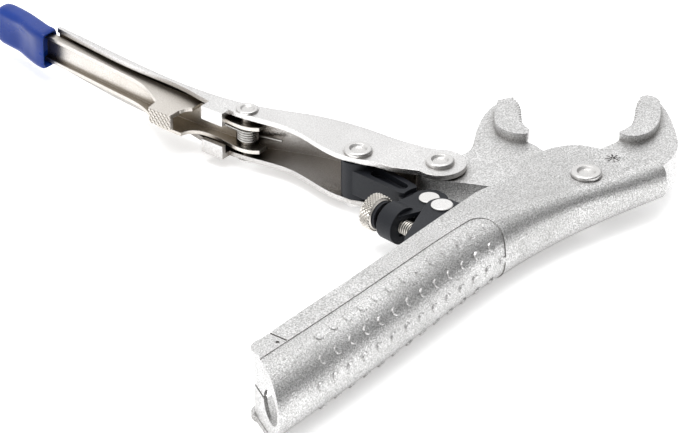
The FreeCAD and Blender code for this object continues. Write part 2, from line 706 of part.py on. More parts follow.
NODES = [
    ("fixed_handle", fixed_handle),
    ("fixed_jaw", fixed_jaw),
    ("jaw_stake_pins", jaw_stake_pins),
    ("jaw_pivot_rivet", jaw_pivot_rivet),
    ("pivot_washers", pivot_washers),
    ("ratchet_rack", ratchet_rack),
    ("rack_seat", rack_seat),
    ("spring_anchor", spring_anchor),
    ("slide_spring", slide_spring),
    ("slide_wedge", slide_wedge),
    ("slide_pin", slide_pin),
    ("screw_carrier", screw_carrier),
    ("knuckle_pin", knuckle_pin),
    ("screw_collar", screw_collar),
    ("screw_spring", screw_spring),
    ("adjusting_screw", adjusting_screw),
    ("movable_jaw", movable_jaw),
    ("jaw_spring", jaw_spring),
    ("main_lever", main_lever),
    ("lever_jaw_rivet", lever_jaw_rivet),
    ("lever_link_rivet", lever_link_rivet),
    ("lever_washers", lever_washers),
    ("toggle_link", toggle_link),
    ("release_lever", release_lever),
    ("release_rivet", release_rivet),
    ("release_spring", release_spring),
    ("grip_sleeve", grip_sleeve),
]

for name, make in NODES:
    shape = make()
    shape.translate(ORIGIN)
    bb = shape.optimalBoundingBox(False)
    kind = shape.ShapeType
    print("%-18s %-9s solids %d valid %s vol %8.1f  X %7.1f %7.1f  Y %7.1f %7.1f  Z %6.2f %6.2f" % (
        name, kind, len(shape.Solids), shape.isValid(), shape.Volume,
        bb.XMin, bb.XMax, bb.YMin, bb.YMax, bb.ZMin, bb.ZMax))
    shape.exportStep(os.path.join("parts", name + ".step"))
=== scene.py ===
import json
import math

import bmesh
import bpy
from mathutils import Matrix, Vector


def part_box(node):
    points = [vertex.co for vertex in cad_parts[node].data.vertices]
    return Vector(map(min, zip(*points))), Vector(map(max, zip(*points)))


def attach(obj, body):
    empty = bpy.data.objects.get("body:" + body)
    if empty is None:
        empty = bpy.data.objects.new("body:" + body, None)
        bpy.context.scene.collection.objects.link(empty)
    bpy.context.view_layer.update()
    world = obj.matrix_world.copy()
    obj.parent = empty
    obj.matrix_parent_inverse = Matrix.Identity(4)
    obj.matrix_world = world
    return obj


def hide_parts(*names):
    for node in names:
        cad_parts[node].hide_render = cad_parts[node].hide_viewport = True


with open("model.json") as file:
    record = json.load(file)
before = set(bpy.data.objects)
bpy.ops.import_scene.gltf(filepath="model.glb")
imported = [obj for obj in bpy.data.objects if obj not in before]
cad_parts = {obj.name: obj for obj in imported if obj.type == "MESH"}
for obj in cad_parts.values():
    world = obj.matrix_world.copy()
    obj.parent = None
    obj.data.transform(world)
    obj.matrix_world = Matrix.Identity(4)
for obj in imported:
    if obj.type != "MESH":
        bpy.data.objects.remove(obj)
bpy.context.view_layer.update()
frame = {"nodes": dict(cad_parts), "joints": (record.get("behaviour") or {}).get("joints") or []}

JOINTS = {joint["name"]: joint for joint in frame["joints"]}
JAW_PIVOT = Vector(JOINTS["jaw_close"]["pos_m"])
MM = 0.001
UP = Vector((0, 0, 1))


def at(x, y, z=0.0):
    """A place in millimetres from the jaw pivot, as metres in the frame."""
    return JAW_PIVOT + Vector((x, y, z)) * MM


# ---- node helpers ---------------------------------------------------------------


def node(tree, kind, feeds=None, **settings):
    made = tree.nodes.new(kind)
    for name, value in settings.items():
        setattr(made, name, value)
    for name, value in (feeds or {}).items():
        if isinstance(value, bpy.types.NodeSocket):
            tree.links.new(value, made.inputs[name])
        else:
            made.inputs[name].default_value = value
    return made


def new_group(name, kind, takes, gives):
    group = bpy.data.node_groups.new(name, kind)
    for title, socket, value in takes:
        made = group.interface.new_socket(title, in_out="INPUT", socket_type=socket)
        if value is not None:
            made.default_value = value
    for title, socket in gives:
        group.interface.new_socket(title, in_out="OUTPUT", socket_type=socket)
    return group, group.nodes.new("NodeGroupInput"), group.nodes.new("NodeGroupOutput")


FLOAT = "NodeSocketFloat"
VECTOR = "NodeSocketVector"
GEOMETRY = "NodeSocketGeometry"
MATERIAL = "NodeSocketMaterial"
OBJECT = "NodeSocketObject"
INT = "NodeSocketInt"

RAY_SAMPLES = 6       # rays in the search for edges and corners
CLOUD_SIZE = 45.0     # broad clouds of tone on metal, per metre
CLOUD_SHARE = 0.35    # how far a cloud takes the colour to its deep tone


def worn_edge_group():
    """Finds the edges of a part within a radius: a mask of wear and a softened normal."""
    group, given, out = new_group(
        "worn edges", "ShaderNodeTree",
        [("Radius", FLOAT, 0.0003), ("Sharpness", FLOAT, 0.25)],
        [("Wear", FLOAT), ("Normal", VECTOR)])
    soft = node(group, "ShaderNodeBevel", {"Radius": given.outputs["Radius"]},
                samples=RAY_SAMPLES)
    flat = node(group, "ShaderNodeNewGeometry")
    agree = node(group, "ShaderNodeVectorMath",
                 {0: soft.outputs["Normal"], 1: flat.outputs["Normal"]},
                 operation="DOT_PRODUCT")
    bend = node(group, "ShaderNodeMath", {0: 1.0, 1: agree.outputs["Value"]},
                operation="SUBTRACT")
    wear = node(group, "ShaderNodeMapRange",
                {"Value": bend.outputs[0], "From Min": 0.01,
                 "From Max": given.outputs["Sharpness"]})
    group.links.new(wear.outputs["Result"], out.inputs["Wear"])
    group.links.new(soft.outputs["Normal"], out.inputs["Normal"])
    return group


def grain_group():
    """Fine shot-blasted grain: light and dark specks, broad clouding and a bumped normal."""
    group, given, out = new_group(
        "blasted grain", "ShaderNodeTree",
        [("Grain", FLOAT, 1800.0), ("Depth", FLOAT, 0.0001), ("Cloud Size", FLOAT, CLOUD_SIZE),
         ("Normal", VECTOR, None)],
        [("Speck", FLOAT), ("Cloud", FLOAT), ("Normal", VECTOR)])
    place = node(group, "ShaderNodeTexCoord").outputs["Object"]
    specks = node(group, "ShaderNodeTexNoise",
                  {"Vector": place, "Scale": given.outputs["Grain"], "Detail": 3.0,
                   "Roughness": 0.65})
    coarse = node(group, "ShaderNodeMath", {0: given.outputs["Grain"], 1: 0.9},
                  operation="MULTIPLY")
    pits = node(group, "ShaderNodeTexVoronoi",
                {"Vector": place, "Scale": coarse.outputs[0], "Randomness": 1.0})
    height = node(group, "ShaderNodeMath",
                  {0: pits.outputs["Distance"], 1: specks.outputs["Fac"]}, operation="ADD")
    bump = node(group, "ShaderNodeBump",
                {"Strength": 1.0, "Distance": given.outputs["Depth"],
                 "Height": height.outputs[0], "Normal": given.outputs["Normal"]})
    contrast = node(group, "ShaderNodeMapRange",
                    {"Value": specks.outputs["Fac"], "From Min": 0.35, "From Max": 0.65})
    cloud = node(group, "ShaderNodeTexNoise",
                 {"Vector": place, "Scale": given.outputs["Cloud Size"], "Detail": 4.0})
    spread = node(group, "ShaderNodeMapRange",
                  {"Value": cloud.outputs["Fac"], "From Min": 0.3, "From Max": 0.7})
    group.links.new(contrast.outputs["Result"], out.inputs["Speck"])
    group.links.new(spread.outputs["Result"], out.inputs["Cloud"])
    group.links.new(bump.outputs["Normal"], out.inputs["Normal"])
    return group


def corner_shade_group():
    """Mask of the inside corners, for painted shade where less light reaches."""
    group, given, out = new_group(
        "painted corner shade", "ShaderNodeTree",
        [("Reach", FLOAT, 0.004)], [("Grime", FLOAT)])
    shut = node(group, "ShaderNodeAmbientOcclusion", {"Distance": given.outputs["Reach"]},
                samples=RAY_SAMPLES)
    grime = node(group, "ShaderNodeMapRange",
                 {"Value": shut.outputs["AO"], "From Min": 0.85, "From Max": 0.25})
    group.links.new(grime.outputs["Result"], out.inputs["Grime"])
    return group


WORN_EDGES = worn_edge_group()
BLASTED_GRAIN = grain_group()
CORNER_SHADE = corner_shade_group()


def group_node(tree, group, feeds):
    return node(tree, "ShaderNodeGroup", feeds, node_tree=group)


def mixed(tree, factor, a, b):
    """A blend of a and b, which are colours or sockets that give one."""
    made = tree.nodes.new("ShaderNodeMix")
    made.data_type = "RGBA"
    for socket, value in ((made.inputs[0], factor), (made.inputs[6], a), (made.inputs[7], b)):
        if isinstance(value, bpy.types.NodeSocket):
            tree.links.new(value, socket)
        else:
            socket.default_value = value if not hasattr(value, "__len__") else (*value, 1.0)
    return made.outputs[2]


def times(tree, socket, factor):
    return node(tree, "ShaderNodeMath", {0: socket, 1: factor}, operation="MULTIPLY").outputs[0]


def new_material(name):
    material = bpy.data.materials.new(name)
    material.use_nodes = True
    tree = material.node_tree
    return material, tree, tree.nodes["Principled BSDF"]


def plated(name, pale, deep, worn, rough, spread, grain, depth, metallic=1.0, edge=0.00035,
           edge_wear=0.5, grime=(0.10, 0.09, 0.08), shade_amount=0.6, reach=0.004,
           speck=0.5, specular=0.5):
    """Metal finish: clouded and specked colour, worn edges, painted shade in the corners."""
    material, tree, shader = new_material(name)
    edges = group_node(tree, WORN_EDGES, {"Radius": edge})
    texture = group_node(tree, BLASTED_GRAIN,
                         {"Grain": grain, "Depth": depth, "Cloud Size": CLOUD_SIZE,
                          "Normal": edges.outputs["Normal"]})
    shade_mask = group_node(tree, CORNER_SHADE, {"Reach": reach})
    colour = mixed(tree, times(tree, texture.outputs["Speck"], speck), pale, deep)
    colour = mixed(tree, times(tree, texture.outputs["Cloud"], CLOUD_SHARE), colour, deep)
    colour = mixed(tree, times(tree, edges.outputs["Wear"], edge_wear), colour, worn)
    # painted shade: the colour is darkened towards the shade colour in inside corners
    colour = mixed(tree, times(tree, shade_mask.outputs["Grime"], shade_amount), colour, grime)
    tree.links.new(colour, shader.inputs["Base Color"])
    sheen = node(tree, "ShaderNodeMapRange",
                 {"Value": texture.outputs["Cloud"], "To Min": rough - spread,
                  "To Max": rough + spread})
    softer = node(tree, "ShaderNodeMath",
                  {0: sheen.outputs["Result"],
                   1: times(tree, texture.outputs["Speck"], spread)},
                  operation="ADD")
    tree.links.new(softer.outputs[0], shader.inputs["Roughness"])
    tree.links.new(texture.outputs["Normal"], shader.inputs["Normal"])
    shader.inputs["Metallic"].default_value = metallic
    shader.inputs["Specular IOR Level"].default_value = specular
    return material


FINISH = {
    "nickel_sheet": plated(
        "blasted nickel sheet", pale=(0.98, 0.975, 0.975), deep=(0.30, 0.298, 0.292),
        worn=(0.97, 0.97, 0.97), rough=0.35, spread=0.06, grain=1900.0, depth=0.00010,
        speck=1.0, edge=0.00012, grime=(0.10, 0.085, 0.07), shade_amount=0.75, reach=0.010),
    "nickel_lever": plated(
        "satin nickel lever", pale=(0.95, 0.945, 0.94), deep=(0.50, 0.49, 0.485),
        worn=(0.97, 0.97, 0.96), rough=0.27, spread=0.05, grain=2100.0, depth=0.00004,
        speck=0.8, grime=(0.15, 0.12, 0.09), shade_amount=0.95, reach=0.018),
    # strong painted shade in the corners darkens the sides of the jaw pads
    "nickel_jaw": plated(
        "blasted nickel jaw", pale=(0.98, 0.975, 0.975), deep=(0.30, 0.298, 0.292),
        worn=(0.97, 0.97, 0.97), rough=0.36, spread=0.06, grain=1900.0, depth=0.00009,
        speck=0.9, edge=0.00018, grime=(0.09, 0.08, 0.065), shade_amount=0.9, reach=0.006),
    "bright_pin": plated(
        "bright pin", pale=(0.86, 0.85, 0.84), deep=(0.68, 0.67, 0.66),
        worn=(0.96, 0.96, 0.96), rough=0.20, spread=0.05, grain=1900.0, depth=0.00001,
        edge=0.0002),
    "rivet_steel": plated(
        "plated rivet", pale=(0.78, 0.77, 0.76), deep=(0.50, 0.49, 0.48),
        worn=(0.96, 0.95, 0.94), rough=0.26, spread=0.05, grain=2400.0, depth=0.00002,
        edge=0.0002),
    "black_oxide": plated(
        "black oxide steel", pale=(0.013, 0.015, 0.021), deep=(0.006, 0.007, 0.009),
        worn=(0.10, 0.10, 0.11), rough=0.42, spread=0.07, grain=2200.0, depth=0.00003,
        metallic=0.0, edge_wear=0.3, grime=(0.004, 0.004, 0.005), specular=0.26),
    "spring_steel": plated(
        "spring steel", pale=(0.62, 0.61, 0.59), deep=(0.40, 0.39, 0.37),
        worn=(0.80, 0.79, 0.77), rough=0.28, spread=0.06, grain=1600.0, depth=0.00001,
        edge=0.0001),
    "screw_steel": plated(
        "screw steel", pale=(0.80, 0.77, 0.72), deep=(0.52, 0.49, 0.45),
        worn=(0.93, 0.92, 0.90), rough=0.27, spread=0.06, grain=2200.0, depth=0.00002,
        edge=0.0001, grime=(0.06, 0.05, 0.04), shade_amount=0.85, reach=0.0012),
    # the warm tint of this lever's pale and deep colours and the brown of its corner shade are a
    # painted reflection of warm surroundings
    "release_steel": plated(
        "satin nickel release lever", pale=(0.82, 0.79, 0.75), deep=(0.44, 0.40, 0.35),
        worn=(0.97, 0.96, 0.94), rough=0.28, spread=0.06, grain=2200.0, depth=0.00003,
        edge=0.0004, grime=(0.17, 0.13, 0.08), shade_amount=0.95, reach=0.012),
    "rack_steel": plated(
        "rack steel", pale=(0.42, 0.41, 0.40), deep=(0.26, 0.25, 0.24),
        worn=(0.70, 0.69, 0.67), rough=0.38, spread=0.08, grain=1400.0, depth=0.00003),
}


def vinyl():
    """Dipped blue vinyl: glossy, a little cloudy, with faint ripples and rubbed edges."""
    material, tree, shader = new_material("dipped blue vinyl")
    edges = group_node(tree, WORN_EDGES, {"Radius": 0.0006})
    texture = group_node(tree, BLASTED_GRAIN,
                         {"Grain": 300.0, "Depth": 0.00001, "Cloud Size": 70.0,
                          "Normal": edges.outputs["Normal"]})
    colour = mixed(tree, times(tree, texture.outputs["Cloud"], 0.6), (0.003, 0.038, 0.27),
                   (0.002, 0.018, 0.14))
    colour = mixed(tree, times(tree, edges.outputs["Wear"], 0.25), colour, (0.10, 0.19, 0.55))
    tree.links.new(colour, shader.inputs["Base Color"])
    gloss = node(tree, "ShaderNodeMapRange",
                 {"Value": texture.outputs["Cloud"], "To Min": 0.24, "To Max": 0.30})
    tree.links.new(gloss.outputs["Result"], shader.inputs["Roughness"])
    tree.links.new(texture.outputs["Normal"], shader.inputs["Normal"])
    shader.inputs["Specular IOR Level"].default_value = 0.25
    shader.inputs["Coat Weight"].default_value = 0.05
    shader.inputs["Coat Roughness"].default_value = 0.15
    return material


FINISH["blue_vinyl"] = vinyl()


def dress_cad_nodes():
    """Every CAD part takes the finish of its slot."""
    for part in frame["nodes"].values():
        for index, held in enumerate(part.data.materials):
            part.data.materials[index] = FINISH[held.name.split(".")[0]]


# ---- mesh helpers ---------------------------------------------------------------


def new_piece(name, mesh):
    piece = bpy.data.objects.new(name, mesh)
    bpy.context.scene.collection.objects.link(piece)
    return piece


def smooth(mesh, angle=40.0):
    mesh.shade_smooth()
    mesh.set_sharp_from_angle(angle=math.radians(angle))


def grown(tree, values):
    """Runs a Geometry Nodes tree with these named inputs and gives the plain mesh."""
    holder = new_piece("holder", bpy.data.meshes.new("holder"))
    modifier = holder.modifiers.new("grow", "NODES")
    modifier.node_group = tree
    for item in tree.interface.items_tree:
        if item.item_type == "SOCKET" and item.in_out == "INPUT" and item.name in values:
            modifier[item.identifier] = values[item.name]
    bpy.context.view_layer.update()
    depsgraph = bpy.context.evaluated_depsgraph_get()
    mesh = bpy.data.meshes.new_from_object(holder.evaluated_get(depsgraph))
    holder.modifiers.remove(modifier)
    bpy.data.objects.remove(holder)
    return mesh


def joined(meshes):
    whole = bmesh.new()
    for mesh in meshes:
        whole.from_mesh(mesh)
    result = bpy.data.meshes.new("joined")
    whole.to_mesh(result)
    whole.free()
    return result


def frame_along(place, axis):
    """A matrix that puts local Z along axis at a place."""
    turn = Vector(axis).normalized().to_track_quat("Z", "Y")
    return Matrix.Translation(place) @ turn.to_matrix().to_4x4()


def lathed(profile, segments=64):
    """Turned solid about local Z from (radius, height) points in mm, closed at both ends."""
    build = bmesh.new()
    rings = []
    for radius, height in profile:
        if radius < 1e-6:
            rings.append([build.verts.new((0, 0, height * MM))])
            continue
        ring = []
        for k in range(segments):
            turn = 2 * math.pi * k / segments
            ring.append(build.verts.new((radius * MM * math.cos(turn),
                                         radius * MM * math.sin(turn), height * MM)))
        rings.append(ring)
    for low, high in zip(rings, rings[1:]):
        for k in range(segments):
            n = (k + 1) % segments
            if len(low) == 1:
                build.faces.new((low[0], high[k], high[n]))
            elif len(high) == 1:
                build.faces.new((low[k], high[0], low[n]))
            else:
                build.faces.new((low[k], low[n], high[n], high[k]))
    bmesh.ops.recalc_face_normals(build, faces=build.faces)
    mesh = bpy.data.meshes.new("turned")
    build.to_mesh(mesh)
    build.free()
    smooth(mesh)
    return mesh


WIRE_SIDES = 5
WIRE_ORDER = 3


def wire(points, radius):
    """Round wire led by points, as a closed mesh."""
    curve = bpy.data.curves.new("wire", "CURVE")
    curve.dimensions = "3D"
    curve.bevel_depth = radius * MM
    curve.bevel_resolution = WIRE_SIDES
    curve.use_fill_caps = True
    spline = curve.splines.new("NURBS")
    spline.points.add(len(points) - 1)
    for held, point in zip(spline.points, points):
        held.co = (*point, 1.0)
    spline.order_u = WIRE_ORDER
    spline.use_endpoint_u = True
    holder = new_piece("wire", curve)
    bpy.context.view_layer.update()
    depsgraph = bpy.context.evaluated_depsgraph_get()
    mesh = bpy.data.meshes.new_from_object(holder.evaluated_get(depsgraph))
    bpy.data.objects.remove(holder)
    smooth(mesh)
    return mesh


# ---- Geometry Nodes trees -------------------------------------------------------


def finish_tree(group, given, out, geometry):
    realized = node(group, "GeometryNodeRealizeInstances", {"Geometry": geometry})
    painted = node(group, "GeometryNodeSetMaterial",
                   {"Geometry": realized.outputs[0], "Material": given.outputs["Finish"]})
    group.links.new(painted.outputs[0], out.inputs["Geometry"])


def coil_tree():
    """Round wire wound in a helix about local Z."""
    group, given, out = new_group(
        "wound coil", "GeometryNodeTree",
        [("Coil Radius", FLOAT, 0.004), ("Height", FLOAT, 0.004), ("Turns", FLOAT, 4.0),
         ("Wire Radius", FLOAT, 0.0005), ("Finish", MATERIAL, None)],
        [("Geometry", GEOMETRY)])
    helix = node(group, "GeometryNodeCurveSpiral",
                 {"Resolution": 28, "Rotations": given.outputs["Turns"],
                  "Start Radius": given.outputs["Coil Radius"],
                  "End Radius": given.outputs["Coil Radius"],
                  "Height": given.outputs["Height"]})
    section = node(group, "GeometryNodeCurvePrimitiveCircle",
                   {"Resolution": 10, "Radius": given.outputs["Wire Radius"]})
    tube = node(group, "GeometryNodeCurveToMesh",
                {"Curve": helix.outputs[0], "Profile Curve": section.outputs[0],
                 "Fill Caps": True})
    finish_tree(group, given, out, tube.outputs[0])
    return group


def pip_row_tree():
    """A row of low round pips, laid on the handle where rays cast at its back strike it."""
    group, given, out = new_group(
        "grip pip row", "GeometryNodeTree",
        [("Count", INT, 13), ("First", VECTOR, None), ("Pitch", VECTOR, None),
         ("Cast From", VECTOR, None), ("Cast Turn", FLOAT, 0.0),
         ("Pip Radius", FLOAT, 0.0019), ("Top Radius", FLOAT, 0.0014), ("Rise", FLOAT, 0.0003),
         ("Handle", OBJECT, None), ("Finish", MATERIAL, None)],
        [("Geometry", GEOMETRY)])
    line = node(group, "GeometryNodeMeshLine",
                {"Count": given.outputs["Count"], "Start Location": given.outputs["First"],
                 "Offset": given.outputs["Pitch"]}, mode="OFFSET", count_mode="TOTAL")
    index = node(group, "GeometryNodeInputIndex").outputs[0]
    turn = node(group, "ShaderNodeMath", {0: index, 1: given.outputs["Cast Turn"]},
                operation="MULTIPLY")
    away = node(group, "ShaderNodeVectorRotate",
                {"Vector": given.outputs["Cast From"], "Axis": (1, 0, 0),
                 "Angle": turn.outputs[0]}, rotation_type="AXIS_ANGLE")
    here = node(group, "GeometryNodeInputPosition").outputs[0]
    start = node(group, "ShaderNodeVectorMath", {0: here, 1: away.outputs[0]}, operation="ADD")
    back = node(group, "ShaderNodeVectorMath", {0: away.outputs[0], "Scale": -1.0},
                operation="SCALE")
    handle = node(group, "GeometryNodeObjectInfo", {"Object": given.outputs["Handle"]})
    struck = node(group, "GeometryNodeRaycast",
                  {"Target Geometry": handle.outputs["Geometry"],
                   "Source Position": start.outputs[0], "Ray Direction": back.outputs[0],
                   "Ray Length": 0.1})
    laid = node(group, "GeometryNodeSetPosition",
                {"Geometry": line.outputs["Mesh"], "Position": struck.outputs["Hit Position"]})
    facing = node(group, "FunctionNodeAlignRotationToVector",
                  {"Vector": struck.outputs["Hit Normal"]}, axis="Z")
    height = node(group, "ShaderNodeMath", {0: given.outputs["Rise"], 1: 2.0},
                  operation="MULTIPLY")
    button = node(group, "GeometryNodeMeshCone",
                  {"Vertices": 24, "Side Segments": 1,
                   "Radius Top": given.outputs["Top Radius"],
                   "Radius Bottom": given.outputs["Pip Radius"], "Depth": height.outputs[0]})
    sunk = node(group, "ShaderNodeCombineXYZ",
                {"Z": node(group, "ShaderNodeMath", {0: given.outputs["Rise"], 1: -1.0},
                           operation="MULTIPLY").outputs[0]})
    seated = node(group, "GeometryNodeTransform",
                  {"Geometry": button.outputs["Mesh"], "Translation": sunk.outputs[0]})
    pips = node(group, "GeometryNodeInstanceOnPoints",
                {"Points": laid.outputs[0], "Instance": seated.outputs[0],
                 "Rotation": facing.outputs[0]})
    finish_tree(group, given, out, pips.outputs[0])
    return group


def knurl_tree():
    """Staggered diamond points standing on a drum about local Z."""
    group, given, out = new_group(
        "diamond knurl", "GeometryNodeTree",
        [("Drum Radius", FLOAT, 0.007), ("Around", INT, 34), ("Rows", INT, 5),
         ("Row Gap", FLOAT, 0.0009), ("Low", FLOAT, 0.001), ("Point Radius", FLOAT, 0.0007),
         ("Point Height", FLOAT, 0.0005), ("Finish", MATERIAL, None)],
        [("Geometry", GEOMETRY)])
    total = node(group, "ShaderNodeMath",
                 {0: given.outputs["Around"], 1: given.outputs["Rows"]}, operation="MULTIPLY")
    line = node(group, "GeometryNodeMeshLine",
                {"Count": total.outputs[0], "Offset": (0.0, 0.0, 0.0)},
                mode="OFFSET", count_mode="TOTAL")
    index = node(group, "GeometryNodeInputIndex").outputs[0]
    ratio = node(group, "ShaderNodeMath", {0: index, 1: given.outputs["Around"]},
                 operation="DIVIDE")
    row = node(group, "ShaderNodeMath", {0: ratio.outputs[0]}, operation="FLOOR")
    odd = node(group, "ShaderNodeMath", {0: row.outputs[0], 1: 0.5}, operation="MULTIPLY")
    along = node(group, "ShaderNodeMath", {0: index, 1: odd.outputs[0]}, operation="ADD")
    step = node(group, "ShaderNodeMath", {0: 2 * math.pi, 1: given.outputs["Around"]},
                operation="DIVIDE")
    angle = node(group, "ShaderNodeMath", {0: along.outputs[0], 1: step.outputs[0]},
                 operation="MULTIPLY")
    cosine = node(group, "ShaderNodeMath", {0: angle.outputs[0]}, operation="COSINE")
    sine = node(group, "ShaderNodeMath", {0: angle.outputs[0]}, operation="SINE")
    outward = node(group, "ShaderNodeCombineXYZ",
                   {"X": cosine.outputs[0], "Y": sine.outputs[0]})
    reach = node(group, "ShaderNodeVectorMath",
                 {0: outward.outputs[0], "Scale": given.outputs["Drum Radius"]},
                 operation="SCALE")
    rise = node(group, "ShaderNodeMath", {0: row.outputs[0], 1: given.outputs["Row Gap"]},
                operation="MULTIPLY")
    level = node(group, "ShaderNodeMath", {0: rise.outputs[0], 1: given.outputs["Low"]},
                 operation="ADD")
    lift = node(group, "ShaderNodeCombineXYZ", {"Z": level.outputs[0]})
    spot = node(group, "ShaderNodeVectorMath", {0: reach.outputs[0], 1: lift.outputs[0]},
                operation="ADD")
    laid = node(group, "GeometryNodeSetPosition",
                {"Geometry": line.outputs["Mesh"], "Position": spot.outputs[0]})
    upright = node(group, "FunctionNodeAlignRotationToVector",
                   {"Vector": outward.outputs[0]}, axis="Z", pivot_axis="AUTO")
    diamond = node(group, "GeometryNodeMeshCone",
                   {"Vertices": 4, "Side Segments": 1, "Radius Top": 0.0,
                    "Radius Bottom": given.outputs["Point Radius"],
                    "Depth": given.outputs["Point Height"]})
    points = node(group, "GeometryNodeInstanceOnPoints",
                  {"Points": laid.outputs[0], "Instance": diamond.outputs["Mesh"],
                   "Rotation": upright.outputs[0]})
    finish_tree(group, given, out, points.outputs[0])
    return group


COIL = coil_tree()
PIP_ROW = pip_row_tree()
KNURL = knurl_tree()


# ---- pieces ---------------------------------------------------------------------


BACK_CENTRE = 7.4       # the round back's centre above the pivot, at its front end
BACK_FRONT = -62.0
BACK_SLOPE = 0.0466

# side of the handle, first place and pitch along it, count, and the angles round the back
# at the first pip and at the last
PIP_ROWS = (
    (1, -157.9, 8.27, 13, 13.0, 22.0),
    (1, -163.8, 8.46, 13, 45.0, 55.5),
    (1, -169.1, 8.60, 14, 79.0, 92.0),
    (-1, -157.9, 8.27, 13, 13.0, 22.0),
    (-1, -163.8, 8.46, 13, 45.0, 55.5),
)
PIP_RADIUS = 2.05
PIP_TOP_RADIUS = 1.5
PIP_RISE = 0.55
CAST_DISTANCE = 40


def section_centre(x):
    """How far above the pivot the centre of the grip's round back is at x, in mm."""
    return BACK_CENTRE + (x - BACK_FRONT) * BACK_SLOPE


def grip_pips():
    """Five rows of pips on the grip."""
    rows = []
    for side, first, pitch, count, low, high in PIP_ROWS:
        low, high = math.radians(low), math.radians(high)
        span = Vector((0, -math.sin(low) * CAST_DISTANCE * MM,
                       side * math.cos(low) * CAST_DISTANCE * MM))
        start = at(first, section_centre(first))
        end = at(first + pitch, section_centre(first + pitch))
        rows.append(grown(PIP_ROW, {
            "Count": count, "First": start, "Pitch": end - start, "Cast From": span,
            "Cast Turn": side * (high - low) / (count - 1), "Pip Radius": PIP_RADIUS * MM,
            "Top Radius": PIP_TOP_RADIUS * MM, "Rise": PIP_RISE * MM,
            "Handle": frame["nodes"]["fixed_handle"], "Finish": FINISH["nickel_sheet"]}))
    piece = new_piece("grip_pips", joined(rows))
    piece.data.materials.clear()
    piece.data.materials.append(FINISH["nickel_sheet"])
    smooth(piece.data, 25.0)
    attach(piece, "handle_body")


def screw_place():
    """Matrix with Z along the adjusting screw, from its knurled end."""
    axis = -Vector(JOINTS["screw_turn"]["axis"]).normalized()
    head = Vector(JOINTS["screw_turn"]["pos_m"])
    return frame_along(head, axis)


SCREW_LENGTH = 23.2
SCREW_HEAD_LENGTH = 5.6
HEAD_RADIUS = 6.45
HEAD_CHAMFER = 0.75
SHANK_RADIUS = 2.96
CORE_RADIUS = 2.48
TIP_RADIUS = 2.0
TIP_CHAMFER = 0.5
KNURL_RADIUS = 6.55
KNURL_AROUND = 30
KNURL_ROWS = 6
KNURL_GAP = 0.74
KNURL_START = 0.95
KNURL_POINT_RADIUS = 0.78
KNURL_POINT_HEIGHT = 0.62
THREAD_START = 17.3
THREAD_PITCH = 1.0
THREAD_RADIUS = 2.56
THREAD_WIRE = 0.42


def adjusting_screw():
    """Knurled thumb screw with a thread on its free end."""
    place = screw_place()
    drum = lathed([(0, 0.35), (3.2, 0.35), (3.6, 0.0), (5.7, 0.0), (HEAD_RADIUS, HEAD_CHAMFER),
                   (HEAD_RADIUS, SCREW_HEAD_LENGTH - HEAD_CHAMFER), (5.8, SCREW_HEAD_LENGTH),
                   (SHANK_RADIUS, SCREW_HEAD_LENGTH), (SHANK_RADIUS, THREAD_START),
                   (CORE_RADIUS, THREAD_START + 0.3), (CORE_RADIUS, SCREW_LENGTH - TIP_CHAMFER),
                   (TIP_RADIUS, SCREW_LENGTH), (0, SCREW_LENGTH)])
    knurl = grown(KNURL, {
        "Drum Radius": KNURL_RADIUS * MM, "Around": KNURL_AROUND, "Rows": KNURL_ROWS,
        "Row Gap": KNURL_GAP * MM, "Low": KNURL_START * MM,
        "Point Radius": KNURL_POINT_RADIUS * MM, "Point Height": KNURL_POINT_HEIGHT * MM,
        "Finish": FINISH["screw_steel"]})
    turns = int((SCREW_LENGTH - THREAD_START - 0.6) / THREAD_PITCH)
    thread = grown(COIL, {
        "Coil Radius": THREAD_RADIUS * MM, "Height": turns * THREAD_PITCH * MM,
        "Turns": float(turns), "Wire Radius": THREAD_WIRE * MM,
        "Finish": FINISH["screw_steel"]})
    thread.transform(Matrix.Translation((0, 0, (THREAD_START + 0.35) * MM)))
    smooth(thread)
    mesh = joined([drum, knurl, thread])
    mesh.transform(place)
    piece = new_piece("thumb_screw", mesh)
    mesh.materials.clear()
    mesh.materials.append(FINISH["screw_steel"])
    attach(piece, "screw_body")
    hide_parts("adjusting_screw")


SCREW_COIL_START = 7.6
SCREW_COIL_LENGTH = 1.9
SCREW_COIL_RADIUS = 4.3
SCREW_COIL_WIRE = 0.42
SCREW_COIL_TURNS = 2.2


def screw_spring():
    """Short coil between the collar and the threaded boss."""
    mesh = grown(COIL, {"Coil Radius": SCREW_COIL_RADIUS * MM,
                        "Height": SCREW_COIL_LENGTH * MM, "Turns": SCREW_COIL_TURNS,
                        "Wire Radius": SCREW_COIL_WIRE * MM,
                        "Finish": FINISH["spring_steel"]})
    mesh.transform(screw_place() @ Matrix.Translation((0, 0, SCREW_COIL_START * MM)))
    smooth(mesh)
    piece = new_piece("screw_coil", mesh)
    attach(piece, "collar_body")
    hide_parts("screw_spring")


RELEASE_COIL_RADIUS = 3.7
RELEASE_COIL_HALF = 2.3      # half its length along the pivot
RELEASE_COIL_TURNS = 4.5
RELEASE_WIRE = 0.5
RELEASE_LEG = (0.66, 11.0, 0.0)
LEVER_LEG = (2.8, -11.7, 0.0)


